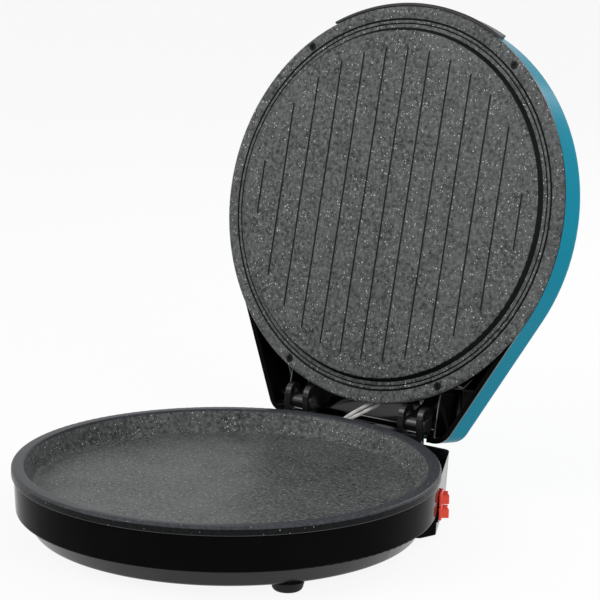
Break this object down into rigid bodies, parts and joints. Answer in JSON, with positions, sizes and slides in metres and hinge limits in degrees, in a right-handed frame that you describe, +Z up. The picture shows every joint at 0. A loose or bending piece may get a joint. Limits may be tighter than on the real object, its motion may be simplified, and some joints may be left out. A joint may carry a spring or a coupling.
{
  "type": "electric baking pan",
  "caption": "Round countertop baking pan with a heated lower plate, a hinged lid with a grooved heated plate on floating hinges, and rocker switches on the side of its rear housing.",
  "frame": {"origin": "on the table under the middle of the open object's box", "axes": "+Z up, +Y from the round front towards the hinge and the open lid, +X to the right seen from the front"},
  "size_m": [0.344, 0.4652, 0.4109],
  "materials": {
    "lid_teal": "teal glossy moulded plastic",
    "black_gloss": "glossy black moulded plastic",
    "black_matt": "fine-textured black plastic",
    "plate_coating": "cast aluminium with a grey speckled non-stick coating",
    "heater_steel": "oxidised steel heater tube",
    "plated_steel": "plated steel",
    "reflector_sheet": "bright aluminium sheet",
    "thermostat_body": "dark phenolic with plated tabs",
    "fuse_metal": "bare metal case",
    "foot_rubber": "black rubber",
    "switch_red": "translucent red plastic",
    "terminal_white": "white nylon",
    "wire_insulation": "silicone wire insulation",
    "grommet_rubber": "black rubber",
    "lead_sleeve": "white braided glass-fibre sleeve"
  },
  "bodies": {
    "base": {"base_shell": "black_gloss", "bottom_cover": "black_gloss", "rear_cover": "black_matt", "hinge_post_left": "black_matt", "hinge_post_right": "black_matt", "mains_gland": "black_matt", "cord_clamp": "black_matt", "lower_plate": "plate_coating", "lower_heater": "heater_steel", "lower_heater_clips": "plated_steel", "lower_plate_screws": "plated_steel", "bottom_cover_screws": "plated_steel", "rear_cover_screws": "plated_steel", "foot_screws": "plated_steel", "cord_clamp_screws": "plated_steel", "hinge_post_screws": "plated_steel", "lower_reflector": "reflector_sheet", "lower_thermostat": "thermostat_body", "thermal_fuse": "fuse_metal", "front_left_foot": "foot_rubber", "front_right_foot": "foot_rubber", "rear_left_foot": "foot_rubber", "rear_right_foot": "foot_rubber", "lower_switch_body": "switch_red", "upper_switch_body": "switch_red", "terminal_block": "terminal_white", "base_wires": "wire_insulation", "lead_grommet": "grommet_rubber"},
    "hinge_pins": {"hinge_pin_left": "plated_steel", "hinge_pin_right": "plated_steel", "hinge_clips": "plated_steel"},
    "lid": {"lid_shell": "lid_teal", "lid_liner": "black_gloss", "upper_plate": "plate_coating", "upper_heater": "heater_steel", "upper_heater_clips": "plated_steel", "upper_reflector": "reflector_sheet", "upper_thermostat": "thermostat_body", "upper_plate_screws": "plated_steel", "upper_reflector_screws": "plated_steel", "front_grip": "black_matt", "grip_nuts": "plated_steel", "hinge_arm_left": "black_matt", "hinge_arm_right": "black_matt", "hinge_arm_screws": "plated_steel", "lead_clamp": "black_matt", "lid_leads": "lead_sleeve"},
    "upper_switch": {"upper_rocker": "switch_red"},
    "lower_switch": {"lower_rocker": "switch_red"}
  },
  "joints": [
    {"name": "hinge_float", "type": "slide", "parent": "base", "child": "hinge_pins", "axis": [0, 0, 1], "range_m": [0, 0.0074]},
    {"name": "lid_hinge", "type": "hinge", "parent": "hinge_pins", "child": "lid", "pos_m": [0, 0.1207, 0.0636], "axis": [1, 0, 0], "range_deg": [0, 103], "deforming": ["lid_leads"]},
    {"name": "upper_switch_rock", "type": "hinge", "parent": "base", "child": "upper_switch", "pos_m": [0.13657, 0.04373, 0.0318], "axis": [0, 0, -1], "range_deg": [0, 18]},
    {"name": "lower_switch_rock", "type": "hinge", "parent": "base", "child": "lower_switch", "pos_m": [0.13657, 0.04373, 0.0202], "axis": [0, 0, -1], "range_deg": [0, 18]}
  ]
}
